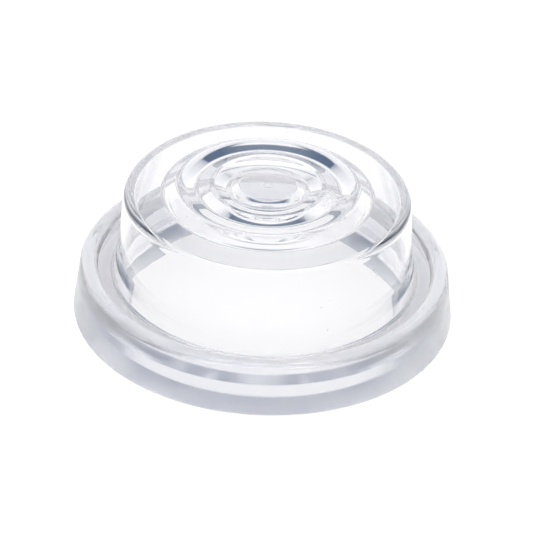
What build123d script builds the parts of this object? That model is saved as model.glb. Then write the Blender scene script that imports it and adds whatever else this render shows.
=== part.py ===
from build123d import *
import os

# Clear push cup for clearing a sink: a rigid bell standing mouth down in a soft sealing ring.
# Millimetres, +Z up. The origin is on the cup's axis, in the plane the ring seals on.

# Sealing ring
ring_radius = 50.0
ring_height = 14.6
skirt_top_radius = 48.4
lip_inner_radius = 44.06
lip_inner_fillet = 1.5
lip_outer_fillet = 1.9
ledge_height = 6.6
ledge_inner_radius = 37.6
base_edge_fillet = 0.5

# Bell foot and wall
flange_radius = 44.0
flange_thickness = 5.6
flange_edge_fillet = 0.5
foot_radius = 40.2
foot_fillet = 1.0
flare_start_height = 19.1
flare_start_radius = 38.8
wall_top_radius = 37.5
wall_thickness = 2.65

# Bell top plate
plate_height = 35.9
plate_thickness = 1.9
rim_fillet = 2.3
inner_corner_fillet = 0.5

# Ripples of the top plate
disc_radius = 7.6
disc_height = 38.6
moat_inner_radius = 9.6
moat_outer_radius = 10.9
moat_height = 37.2
inner_crest_inner_radius = 14.0
inner_crest_outer_radius = 15.2
inner_crest_height = 38.6
valley_inner_radius = 18.4
valley_outer_radius = 19.2
valley_height = 37.4
outer_crest_inner_radius = 22.1
outer_crest_outer_radius = 23.8
outer_crest_height = 38.4
ripple_foot_radius = 27.4
disc_rounding = 0.6
inner_rounding = 1.0
valley_rounding = 2.0
outer_crest_rounding = 5.0
ripple_foot_rounding = 2.5

# Moulding gate mark in the centre disc
gate_radius = 1.2
gate_depth = 0.25

cavity_foot_radius = ledge_inner_radius
cavity_top_radius = wall_top_radius - wall_thickness
flange_top = ledge_height + flange_thickness

# Corners of the top surface from the axis outwards, as radius, height and rounding
crests_and_valleys = [
    (disc_radius, disc_height, disc_rounding),
    (moat_inner_radius, moat_height, disc_rounding),
    (moat_outer_radius, moat_height, inner_rounding),
    (inner_crest_inner_radius, inner_crest_height, inner_rounding),
    (inner_crest_outer_radius, inner_crest_height, inner_rounding),
    (valley_inner_radius, valley_height, valley_rounding),
    (valley_outer_radius, valley_height, valley_rounding),
    (outer_crest_inner_radius, outer_crest_height, outer_crest_rounding),
    (outer_crest_outer_radius, outer_crest_height, ripple_foot_rounding),
    (ripple_foot_radius, plate_height, ripple_foot_rounding),
]


# Clear bell: one moulding, with the ripples on the upper face of the plate and a flat underside
plate_underside = plate_height - plate_thickness

with BuildPart() as clear_bell:
    with BuildSketch(Plane.XZ) as bell_section:
        with BuildLine():
            Polyline(
                (0, disc_height),
                *[(radius, height) for radius, height, rounding in crests_and_valleys],
                (wall_top_radius, plate_height),
                (flare_start_radius, flare_start_height),
                (foot_radius, flange_top),
                (flange_radius, flange_top),
                (flange_radius, ledge_height),
                (cavity_foot_radius, ledge_height),
                (cavity_top_radius, plate_underside),
                (0, plate_underside),
                close=True,
            )
        make_face()
        for radius, height, rounding in crests_and_valleys:
            ripple_corner = bell_section.vertices().sort_by_distance((radius, height))[0]
            fillet(ripple_corner, rounding)
        section_corners = bell_section.vertices()
        rim_corner = section_corners.sort_by_distance((wall_top_radius, plate_height))[0]
        fillet(rim_corner, rim_fillet)
        section_corners = bell_section.vertices()
        inner_corner = section_corners.sort_by_distance((cavity_top_radius, plate_underside))[0]
        fillet(inner_corner, inner_corner_fillet)
        section_corners = bell_section.vertices()
        foot_corner = section_corners.sort_by_distance((foot_radius, flange_top))[0]
        fillet(foot_corner, foot_fillet)
        section_corners = bell_section.vertices()
        flange_corner = section_corners.sort_by_distance((flange_radius, flange_top))[0]
        fillet(flange_corner, flange_edge_fillet)
    revolve(axis=Axis.Z)
    with BuildSketch(Plane.XY.offset(disc_height)):
        Circle(gate_radius)
    extrude(amount=-gate_depth, mode=Mode.SUBTRACT)


# Sealing ring: a ledge under the flange and a rounded lip round it, in one L-shaped section
with BuildPart() as sealing_ring:
    with BuildSketch(Plane.XZ) as ring_section:
        with BuildLine():
            Polyline(
                (ledge_inner_radius, 0),
                (ring_radius, 0),
                (skirt_top_radius, ring_height),
                (lip_inner_radius, ring_height),
                (lip_inner_radius, ledge_height),
                (ledge_inner_radius, ledge_height),
                close=True,
            )
        make_face()
        section_corners = ring_section.vertices()
        base_corner = section_corners.sort_by_distance((ring_radius, 0))[0]
        fillet(base_corner, base_edge_fillet)
        section_corners = ring_section.vertices()
        lip_outer_corner = section_corners.sort_by_distance((skirt_top_radius, ring_height))[0]
        fillet(lip_outer_corner, lip_outer_fillet)
        section_corners = ring_section.vertices()
        lip_inner_corner = section_corners.sort_by_distance((lip_inner_radius, ring_height))[0]
        fillet(lip_inner_corner, lip_inner_fillet)
    revolve(axis=Axis.Z)


os.makedirs("parts", exist_ok=True)

clear_bell.part.label = "clear_bell"
export_step(clear_bell.part, "parts/clear_bell.step")

sealing_ring.part.label = "sealing_ring"
export_step(sealing_ring.part, "parts/sealing_ring.step")
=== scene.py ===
import math

import bpy
from mathutils import Matrix, Vector


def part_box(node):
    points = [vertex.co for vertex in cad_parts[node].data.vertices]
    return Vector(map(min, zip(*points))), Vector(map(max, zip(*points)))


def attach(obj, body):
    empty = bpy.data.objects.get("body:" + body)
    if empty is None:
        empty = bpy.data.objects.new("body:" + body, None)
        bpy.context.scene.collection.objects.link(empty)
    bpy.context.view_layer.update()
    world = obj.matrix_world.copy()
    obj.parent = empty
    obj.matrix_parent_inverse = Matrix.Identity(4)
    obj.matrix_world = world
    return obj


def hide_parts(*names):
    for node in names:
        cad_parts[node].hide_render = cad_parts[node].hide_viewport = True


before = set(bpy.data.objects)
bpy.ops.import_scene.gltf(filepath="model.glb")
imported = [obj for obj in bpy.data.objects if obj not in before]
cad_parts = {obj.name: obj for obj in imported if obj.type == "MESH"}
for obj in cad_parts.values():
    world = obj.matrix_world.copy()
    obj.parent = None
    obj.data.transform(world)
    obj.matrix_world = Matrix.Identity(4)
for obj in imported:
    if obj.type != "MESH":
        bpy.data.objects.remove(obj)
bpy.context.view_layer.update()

# Clear sink plunger cup: the looks of its bell and its sealing ring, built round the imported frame.
# Metres, +Z up, the origin on the cup's axis in the plane that the ring seals on.

MM = 0.001
BELL_LOW, BELL_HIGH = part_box("clear_bell")
RING_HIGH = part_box("sealing_ring")[1]

# Heights and radii that the frame gives
RING_TOP = RING_HIGH.z
LEDGE_HEIGHT = BELL_LOW.z
DISC_HEIGHT = BELL_HIGH.z
FLANGE_RADIUS = BELL_HIGH.x

# Sealing ring
RING_RADIUS = 50.0 * MM
SKIRT_TOP_RADIUS = 48.4 * MM
LIP_INNER_RADIUS = 44.06 * MM
LIP_INNER_FILLET = 1.5 * MM
LIP_OUTER_FILLET = 1.9 * MM
LEDGE_INNER_RADIUS = 37.6 * MM
BASE_EDGE_FILLET = 0.5 * MM

# Bell foot and wall. The flange stands a hair above the ledge, so that no two faces lie in one plane.
FLANGE_TOP = LEDGE_HEIGHT + 5.6 * MM
FLANGE_EDGE_FILLET = 0.5 * MM
FLANGE_AIR_GAP = 0.03 * MM
FOOT_RADIUS = 40.2 * MM
FOOT_FILLET = 1.0 * MM
FLARE_START_HEIGHT = 19.1 * MM
FLARE_START_RADIUS = 38.8 * MM
FLARE_BLEND = 8.0 * MM
WALL_TOP_RADIUS = 37.5 * MM
WALL_THICKNESS = 2.65 * MM

# Bell top plate, its ripples and its gate mark
PLATE_HEIGHT = 35.9 * MM
PLATE_THICKNESS = 1.9 * MM
RIM_FILLET = 2.3 * MM
INNER_CORNER_FILLET = 0.5 * MM
DISC_RADIUS = 7.6 * MM
MOAT_INNER_RADIUS = 9.6 * MM
MOAT_OUTER_RADIUS = 10.9 * MM
MOAT_HEIGHT = 37.2 * MM
INNER_CREST_INNER_RADIUS = 14.0 * MM
INNER_CREST_OUTER_RADIUS = 15.2 * MM
VALLEY_INNER_RADIUS = 18.4 * MM
VALLEY_OUTER_RADIUS = 19.2 * MM
VALLEY_HEIGHT = 37.4 * MM
OUTER_CREST_INNER_RADIUS = 22.1 * MM
OUTER_CREST_OUTER_RADIUS = 23.8 * MM
OUTER_CREST_HEIGHT = 38.4 * MM
RIPPLE_FOOT_RADIUS = 27.4 * MM
DISC_ROUNDING = 0.6 * MM
INNER_ROUNDING = 1.0 * MM
VALLEY_ROUNDING = 2.0 * MM
OUTER_CREST_ROUNDING = 5.0 * MM
RIPPLE_FOOT_ROUNDING = 2.5 * MM
GATE_RADIUS = 1.2 * MM
GATE_DEPTH = 0.25 * MM

# Fineness of the turned meshes
BELL_TURNS = 360
RING_TURNS = 900
ARC_STEPS = 10
SHARP_ANGLE = math.radians(35)

# Clear plastic surface. Scales are features per metre, and a stretch multiplies X, Y and Z.
CLEAR_TINT = (0.968, 0.963, 0.965)
CLEAR_IOR = 1.49
CLEAR_ROUGHNESS = 0.008
FLOW_SCALE = 45.0
FLOW_DEPTH = 0.10 * MM
HAIRLINE_SCALE = 60.0
HAIRLINE_STRETCH = (1, 14, 5)
HAIRLINE_START = 0.70
HAIRLINE_FULL = 0.74
HAIRLINE_STRENGTH = 0.3
DUST_CELLS = 190.0
DUST_SIZE = 0.045
DUST_CORE = 0.7
DUST_DEPTH = 0.08 * MM
MARK_ROUGHNESS = 0.3
SCUFF_PLACE = (16.4 * MM, -5.0 * MM, 37.5 * MM)
SCUFF_RADIUS = 4.5 * MM
SCUFF_CORE = 0.5
SCUFF_SCALE = 900.0
SCUFF_DEPTH = 0.25 * MM

# Satin elastomer surface
RING_TRANSMISSION = 0.88
RING_IOR = 1.43
RING_TINT = (0.95, 0.955, 0.995)
RING_PALE = (0.99, 0.985, 1.0)
HAZE_SCALE = 60.0
HAZE_LOW = 0.3
HAZE_HIGH = 0.7
RING_GLOSSY = 0.12
RING_DULL = 0.22
STREAK_SCALE = 70.0
STREAK_STRETCH = (1, 1, 0.12)
STREAK_LOW = 0.35
STREAK_HIGH = 0.65
GRAIN_SCALE = 2500.0
GRAIN_DEPTH = 0.01 * MM
KNIT_PLACE = 2.9 * MM
KNIT_WIDTH = 0.25 * MM
KNIT_CORE = 0.3
KNIT_DEPTH = 0.06 * MM

# Floor, just under the ring
FLOOR_COLOUR = (0.5, 0.5, 0.5)
FLOOR_ROUGHNESS = 0.9
FLOOR_GLOW = 0.66
FLOOR_HALF_WIDTH = 3.0
FLOOR_GAP = 0.05 * MM

# Studio: a white sweep all round, a room above it that is darker behind the cup, a white ceiling
SWEEP_COLOUR = (0.95, 0.955, 0.985)
ROOM_COLOUR = (0.09, 0.14, 0.23)
SIDE_COLOUR = (0.62, 0.66, 0.75)
CEILING_COLOUR = (2.2, 2.18, 2.2)
SWEEP_TOP = math.radians(30)
ROOM_START = math.radians(35)
ROOM_END = math.radians(56)
CEILING_START = math.radians(68)
BEHIND_START = 0.1
BEHIND_FULL = 0.6

# Camera: the photograph's viewing angle
CAMERA_ELEVATION = math.radians(33.75)
CAMERA_ROLL = math.radians(2.74)
CAMERA_DISTANCE = 1.325
CAMERA_REACH = 50.0
SENSOR_WIDTH = 36.0
FOCAL_LENGTH = 337.7
AIM_RIGHT = 1.1 * MM
AIM_UP = 11.0 * MM

# How often light may pass on through the clear walls, or be mirrored
CLEAR_BOUNCES = 24
GLOSSY_BOUNCES = 16


# Outlines, as (radius, height) points in order

def corner_arc(before, corner, after, radius):
    """Points along the arc that rounds a corner between its two neighbours."""
    point = Vector(corner)
    towards_before = (Vector(before) - point).normalized()
    towards_after = (Vector(after) - point).normalized()
    half_angle = towards_before.angle(towards_after) / 2
    bisector = (towards_before + towards_after).normalized()
    centre = point + bisector * (radius / math.sin(half_angle))
    reach = radius / math.tan(half_angle)
    start = point + towards_before * reach - centre
    end = point + towards_after * reach - centre
    start_angle = math.atan2(start.y, start.x)
    turn = math.atan2(end.y, end.x) - start_angle
    turn = (turn + math.pi) % math.tau - math.pi
    arc = []
    for step in range(ARC_STEPS + 1):
        angle = start_angle + turn * step / ARC_STEPS
        arc.append((centre.x + radius * math.cos(angle), centre.y + radius * math.sin(angle)))
    return arc


def rounded_outline(corners):
    """An outline from (radius, height, fillet) corners; its first and last corners stay sharp."""
    outline = [corners[0][:2]]
    for before, corner, after in zip(corners, corners[1:], corners[2:]):
        fillet = corner[2]
        if fillet > 0:
            outline += corner_arc(before[:2], corner[:2], after[:2], fillet)
        else:
            outline.append(corner[:2])
    outline.append(corners[-1][:2])
    return outline


def bell_outline():
    """Half section of the bell: over the top, down the outside, up the inside, back to the axis."""
    cavity_top_radius = WALL_TOP_RADIUS - WALL_THICKNESS
    plate_underside = PLATE_HEIGHT - PLATE_THICKNESS
    gate_floor = DISC_HEIGHT - GATE_DEPTH
    flange_bottom = LEDGE_HEIGHT + FLANGE_AIR_GAP
    return [(0, gate_floor), (GATE_RADIUS, gate_floor)] + rounded_outline([
        (GATE_RADIUS, DISC_HEIGHT, 0),
        (DISC_RADIUS, DISC_HEIGHT, DISC_ROUNDING),
        (MOAT_INNER_RADIUS, MOAT_HEIGHT, DISC_ROUNDING),
        (MOAT_OUTER_RADIUS, MOAT_HEIGHT, INNER_ROUNDING),
        (INNER_CREST_INNER_RADIUS, DISC_HEIGHT, INNER_ROUNDING),
        (INNER_CREST_OUTER_RADIUS, DISC_HEIGHT, INNER_ROUNDING),
        (VALLEY_INNER_RADIUS, VALLEY_HEIGHT, VALLEY_ROUNDING),
        (VALLEY_OUTER_RADIUS, VALLEY_HEIGHT, VALLEY_ROUNDING),
        (OUTER_CREST_INNER_RADIUS, OUTER_CREST_HEIGHT, OUTER_CREST_ROUNDING),
        (OUTER_CREST_OUTER_RADIUS, OUTER_CREST_HEIGHT, RIPPLE_FOOT_ROUNDING),
        (RIPPLE_FOOT_RADIUS, PLATE_HEIGHT, RIPPLE_FOOT_ROUNDING),
        (WALL_TOP_RADIUS, PLATE_HEIGHT, RIM_FILLET),
        (FLARE_START_RADIUS, FLARE_START_HEIGHT, FLARE_BLEND),
        (FOOT_RADIUS, FLANGE_TOP, FOOT_FILLET),
        (FLANGE_RADIUS, FLANGE_TOP, FLANGE_EDGE_FILLET),
        (FLANGE_RADIUS, flange_bottom, 0),
        (LEDGE_INNER_RADIUS, flange_bottom, 0),
        (cavity_top_radius, plate_underside, INNER_CORNER_FILLET),
        (0, plate_underside, 0),
    ])


def ring_outline():
    """Section of the sealing ring, a closed L, over its top and back along its bottom."""
    return rounded_outline([
        (LEDGE_INNER_RADIUS, LEDGE_HEIGHT, 0),
        (LIP_INNER_RADIUS, LEDGE_HEIGHT, 0),
        (LIP_INNER_RADIUS, RING_TOP, LIP_INNER_FILLET),
        (SKIRT_TOP_RADIUS, RING_TOP, LIP_OUTER_FILLET),
        (RING_RADIUS, 0, BASE_EDGE_FILLET),
        (LEDGE_INNER_RADIUS, 0, 0),
    ])


# Turned pieces

def turned_piece(name, outline, closed, turns):
    """Turn an outline about Z. A point on the axis becomes one vertex."""
    vertices = []
    loops = []
    for radius, height in outline:
        first = len(vertices)
        if radius == 0:
            vertices.append((0, 0, height))
            loops.append([first] * turns)
        else:
            for turn in range(turns):
                angle = math.tau * turn / turns
                vertices.append((radius * math.cos(angle), radius * math.sin(angle), height))
            loops.append(list(range(first, first + turns)))
    pairs = list(zip(loops, loops[1:]))
    if closed:
        pairs.append((loops[-1], loops[0]))
    faces = []
    for upper, lower in pairs:
        for turn in range(turns):
            following = (turn + 1) % turns
            quad = (upper[turn], lower[turn], lower[following], upper[following])
            # At the axis two corners are the same vertex, which leaves a triangle
            faces.append(tuple(dict.fromkeys(quad)))
    mesh = bpy.data.meshes.new(name)
    mesh.from_pydata(vertices, [], faces)
    mesh.shade_smooth()
    mesh.set_sharp_from_angle(angle=SHARP_ANGLE)
    mesh.validate()
    piece = bpy.data.objects.new(name, mesh)
    bpy.context.collection.objects.link(piece)
    return piece


# Nodes that the materials share

def new_material(name):
    """A node material, with its nodes, its links and its shader."""
    material = bpy.data.materials.new(name)
    material.use_nodes = True
    nodes = material.node_tree.nodes
    return material, nodes, material.node_tree.links, nodes["Principled BSDF"]


def colour_ramp(nodes, links, source, stops):
    """A ramp of (position, colour) stops fed by a value."""
    ramp = nodes.new("ShaderNodeValToRGB")
    elements = ramp.color_ramp.elements
    for element, (position, colour) in zip(elements, (stops[0], stops[-1])):
        element.position = position
        element.color = (*colour, 1)
    for position, colour in stops[1:-1]:
        elements.new(position).color = (*colour, 1)
    links.new(source, ramp.inputs[0])
    return ramp.outputs[0]


def noise(nodes, links, place, scale, detail):
    """Noise from 0 to 1, with a scale in features per metre."""
    texture = nodes.new("ShaderNodeTexNoise")
    texture.inputs["Scale"].default_value = scale
    texture.inputs["Detail"].default_value = detail
    links.new(place, texture.inputs["Vector"])
    return texture.outputs[0]


def calculate(nodes, links, operation, *terms):
    """A math node fed by sockets and plain numbers."""
    node = nodes.new("ShaderNodeMath")
    node.operation = operation
    for socket, term in zip(node.inputs, terms):
        if isinstance(term, (int, float)):
            socket.default_value = term
        else:
            links.new(term, socket)
    return node.outputs[0]


def remap(nodes, links, value, start, end, low, high):
    """Map a value smoothly from start..end to low..high, held level beyond them."""
    node = nodes.new("ShaderNodeMapRange")
    node.interpolation_type = "SMOOTHSTEP"
    node.inputs["From Min"].default_value = start
    node.inputs["From Max"].default_value = end
    node.inputs["To Min"].default_value = low
    node.inputs["To Max"].default_value = high
    links.new(value, node.inputs["Value"])
    return node.outputs[0]


def stretched(nodes, links, place, stretch):
    """Coordinates multiplied along each axis."""
    node = nodes.new("ShaderNodeVectorMath")
    node.operation = "MULTIPLY"
    node.inputs[1].default_value = stretch
    links.new(place, node.inputs[0])
    return node.outputs[0]


def near(nodes, links, place, centre, inner, outer):
    """1 within the inner distance of a point, 0 beyond the outer distance."""
    node = nodes.new("ShaderNodeVectorMath")
    node.operation = "DISTANCE"
    node.inputs[1].default_value = centre
    links.new(place, node.inputs[0])
    return remap(nodes, links, node.outputs["Value"], inner, outer, 1.0, 0.0)


def specks(nodes, links, place, cells, size, core):
    """Round specks, 1 in their core and 0 outside. Their size is a share of a cell's width."""
    texture = nodes.new("ShaderNodeTexVoronoi")
    texture.inputs["Scale"].default_value = cells
    links.new(place, texture.inputs["Vector"])
    return remap(nodes, links, texture.outputs["Distance"], size * core, size, 1.0, 0.0)


def add_bump(nodes, links, shader, height, depth):
    """Raise the surface by a 0 to 1 height times a depth."""
    bump = nodes.new("ShaderNodeBump")
    bump.inputs["Distance"].default_value = depth
    links.new(height, bump.inputs["Height"])
    links.new(bump.outputs[0], shader.inputs["Normal"])


# Materials

def clear_plastic():
    """Water-clear rigid plastic: faint flow waves, dust specks, hairlines and one scuffed patch."""
    material, nodes, links, shader = new_material("clear_plastic")
    shader.inputs["Base Color"].default_value = (*CLEAR_TINT, 1)
    shader.inputs["Transmission Weight"].default_value = 1.0
    shader.inputs["IOR"].default_value = CLEAR_IOR
    place = nodes.new("ShaderNodeTexCoord").outputs["Object"]
    flow = noise(nodes, links, place, FLOW_SCALE, detail=2)
    dust = specks(nodes, links, place, DUST_CELLS, DUST_SIZE, DUST_CORE)
    drawn = stretched(nodes, links, place, HAIRLINE_STRETCH)
    hairlines = noise(nodes, links, drawn, HAIRLINE_SCALE, detail=1)
    hairlines = remap(nodes, links, hairlines, HAIRLINE_START, HAIRLINE_FULL, 0.0, 1.0)
    hairlines = calculate(nodes, links, "MULTIPLY", hairlines, HAIRLINE_STRENGTH)
    scuff_area = near(nodes, links, place, SCUFF_PLACE, SCUFF_RADIUS * SCUFF_CORE, SCUFF_RADIUS)
    scratches = noise(nodes, links, place, SCUFF_SCALE, detail=2)
    scuff = calculate(nodes, links, "MULTIPLY", scuff_area, scratches)
    marks = calculate(nodes, links, "MAXIMUM", dust, hairlines)
    roughness = calculate(nodes, links, "MULTIPLY_ADD", marks, MARK_ROUGHNESS, CLEAR_ROUGHNESS)
    links.new(roughness, shader.inputs["Roughness"])
    height = calculate(nodes, links, "MULTIPLY_ADD", scuff, SCUFF_DEPTH / FLOW_DEPTH, flow)
    height = calculate(nodes, links, "MULTIPLY_ADD", dust, DUST_DEPTH / FLOW_DEPTH, height)
    add_bump(nodes, links, shader, height, FLOW_DEPTH)
    return material


def knit_line(nodes, links, place):
    """1 along the upright line where the flow fronts met, which only the front of the ring has."""
    split = nodes.new("ShaderNodeSeparateXYZ")
    links.new(place, split.inputs[0])
    aside = calculate(nodes, links, "SUBTRACT", split.outputs["X"], KNIT_PLACE)
    aside = calculate(nodes, links, "ABSOLUTE", aside)
    line = remap(nodes, links, aside, KNIT_WIDTH * KNIT_CORE, KNIT_WIDTH, 1.0, 0.0)
    front = calculate(nodes, links, "LESS_THAN", split.outputs["Y"], -LIP_INNER_RADIUS)
    return calculate(nodes, links, "MULTIPLY", line, front)


def satin_elastomer():
    """Soft milky elastomer: uneven haze, a satin grain, draw streaks down the skirt and a knit line."""
    material, nodes, links, shader = new_material("satin_elastomer")
    shader.inputs["Transmission Weight"].default_value = RING_TRANSMISSION
    shader.inputs["IOR"].default_value = RING_IOR
    place = nodes.new("ShaderNodeTexCoord").outputs["Object"]
    haze = noise(nodes, links, place, HAZE_SCALE, detail=3)
    colour = colour_ramp(nodes, links, haze, [(HAZE_LOW, RING_TINT), (HAZE_HIGH, RING_PALE)])
    links.new(colour, shader.inputs["Base Color"])
    drawn = stretched(nodes, links, place, STREAK_STRETCH)
    streaks = noise(nodes, links, drawn, STREAK_SCALE, detail=2)
    roughness = remap(nodes, links, streaks, STREAK_LOW, STREAK_HIGH, RING_GLOSSY, RING_DULL)
    links.new(roughness, shader.inputs["Roughness"])
    grain = noise(nodes, links, place, GRAIN_SCALE, detail=2)
    knit = knit_line(nodes, links, place)
    height = calculate(nodes, links, "MULTIPLY_ADD", knit, -KNIT_DEPTH / GRAIN_DEPTH, grain)
    add_bump(nodes, links, shader, height, GRAIN_DEPTH)
    return material


def pale_floor():
    """Pale matt table with light from below."""
    material, nodes, links, shader = new_material("pale_floor")
    shader.inputs["Base Color"].default_value = (*FLOOR_COLOUR, 1)
    shader.inputs["Roughness"].default_value = FLOOR_ROUGHNESS
    shader.inputs["Specular IOR Level"].default_value = 0.0
    shader.inputs["Emission Color"].default_value = (1, 1, 1, 1)
    shader.inputs["Emission Strength"].default_value = FLOOR_GLOW
    return material


# Pieces

def add_piece(name, outline, closed, turns, material, body, node):
    """Turn a piece, give it its material, and put it in the frame for its CAD node."""
    piece = turned_piece(name, outline, closed, turns)
    piece.data.materials.append(material)
    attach(piece, body)
    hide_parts(node)


add_piece(
    "bell_moulding", bell_outline(), closed=False, turns=BELL_TURNS, material=clear_plastic(),
    body="bell", node="clear_bell",
)
add_piece(
    "ring_moulding", ring_outline(), closed=True, turns=RING_TURNS, material=satin_elastomer(),
    body="ring", node="sealing_ring",
)


# Floor, light and camera

def add_floor():
    """A wide level floor just under the ring."""
    half = FLOOR_HALF_WIDTH
    corners = [(-half, -half), (half, -half), (half, half), (-half, half)]
    mesh = bpy.data.meshes.new("floor")
    mesh.from_pydata([(x, y, -FLOOR_GAP) for x, y in corners], [], [(0, 1, 2, 3)])
    mesh.materials.append(pale_floor())
    floor = bpy.data.objects.new("floor", mesh)
    bpy.context.collection.objects.link(floor)


def sky(nodes, links, upward, room_colour):
    """Light by how far a direction points upwards: the sweep, then the room, then the ceiling."""
    return colour_ramp(nodes, links, upward, [
        (0.0, SWEEP_COLOUR),
        (math.sin(SWEEP_TOP), SWEEP_COLOUR),
        (math.sin(ROOM_START), room_colour),
        (math.sin(ROOM_END), room_colour),
        (math.sin(CEILING_START), CEILING_COLOUR),
    ])


def studio_world():
    """The studio's light from all round, with the dark room behind the cup and a pale one elsewhere."""
    world = bpy.data.worlds.new("studio")
    bpy.context.scene.world = world
    world.use_nodes = True
    nodes = world.node_tree.nodes
    links = world.node_tree.links
    direction = nodes.new("ShaderNodeTexCoord").outputs["Generated"]
    split = nodes.new("ShaderNodeSeparateXYZ")
    links.new(direction, split.inputs[0])
    mix = nodes.new("ShaderNodeMix")
    mix.data_type = "RGBA"
    behind = remap(nodes, links, split.outputs["Y"], BEHIND_START, BEHIND_FULL, 0.0, 1.0)
    links.new(behind, mix.inputs["Factor"])
    links.new(sky(nodes, links, split.outputs["Z"], SIDE_COLOUR), mix.inputs["A"])
    links.new(sky(nodes, links, split.outputs["Z"], ROOM_COLOUR), mix.inputs["B"])
    links.new(mix.outputs["Result"], nodes["Background"].inputs["Color"])


def add_camera():
    """The photograph's viewing angle, with no shift."""
    toward = Vector((0, math.cos(CAMERA_ELEVATION), -math.sin(CAMERA_ELEVATION)))
    level_right = Vector((1, 0, 0))
    level_up = level_right.cross(toward)
    rolled_right = level_right * math.cos(CAMERA_ROLL) + level_up * math.sin(CAMERA_ROLL)
    rolled_up = rolled_right.cross(toward)
    position = -toward * CAMERA_DISTANCE
    aim = rolled_right * AIM_RIGHT + rolled_up * AIM_UP
    back = (position - aim).normalized()
    right = rolled_up.cross(back).normalized()
    up = back.cross(right)
    data = bpy.data.cameras.new("camera")
    data.sensor_width = SENSOR_WIDTH
    data.lens = FOCAL_LENGTH
    data.clip_end = CAMERA_REACH
    camera = bpy.data.objects.new("camera", data)
    axes = Matrix((right, up, back)).transposed().to_4x4()
    camera.matrix_world = Matrix.Translation(position) @ axes
    bpy.context.collection.objects.link(camera)
    bpy.context.scene.camera = camera


add_floor()
studio_world()
add_camera()

scene = bpy.context.scene
scene.view_settings.view_transform = "Standard"
scene.cycles.max_bounces = CLEAR_BOUNCES
scene.cycles.transmission_bounces = CLEAR_BOUNCES
scene.cycles.glossy_bounces = GLOSSY_BOUNCES
scene.cycles.use_denoising = True
